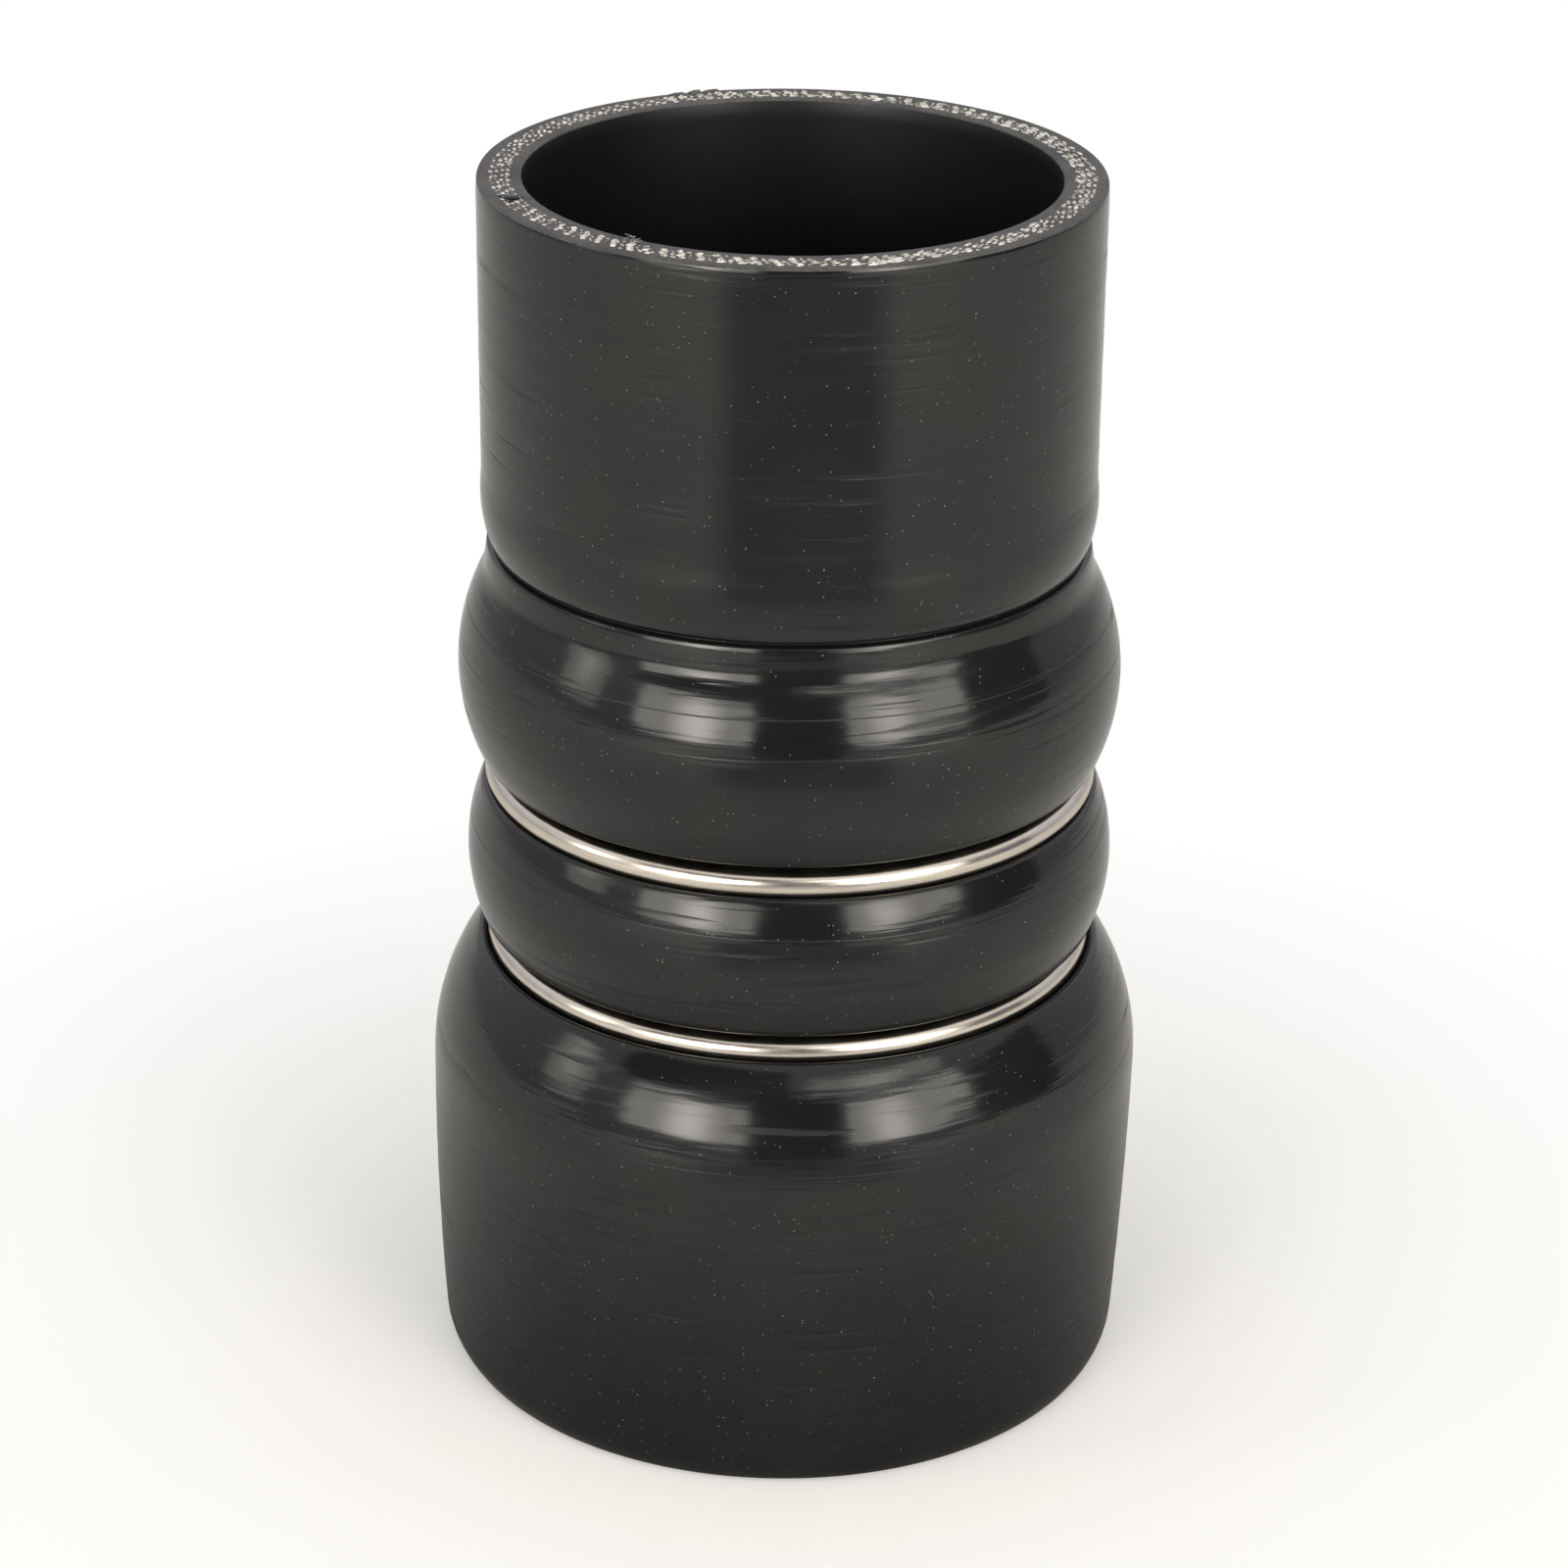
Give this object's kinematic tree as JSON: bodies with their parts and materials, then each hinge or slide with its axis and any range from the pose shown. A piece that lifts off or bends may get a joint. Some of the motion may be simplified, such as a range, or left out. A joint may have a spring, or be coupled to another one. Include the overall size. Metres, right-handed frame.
{
  "type": "intercooler boot",
  "caption": "Upright reinforced silicone hump hose that reduces from a wide lower mouth to a narrower upper one, with polished wire rings seated in the grooves between its humps.",
  "frame": {"origin": "middle of the wide lower mouth's face, on the hose's axis", "axes": "+Z along the hose's axis from the wide lower mouth to the narrow upper one; the picture looks along +Y and down"},
  "size_m": [0.0888, 0.0888, 0.1529],
  "materials": {
    "black_silicone": "semi-gloss black silicone with fine wrap lines, grey cut ends showing four rows of pale yarn",
    "polished_steel": "polished stainless wire, warm reflections"
  },
  "bodies": {
    "root": {"silicone_hose": "black_silicone", "upper_ring": "polished_steel", "lower_ring": "polished_steel"}
  },
  "joints": []
}
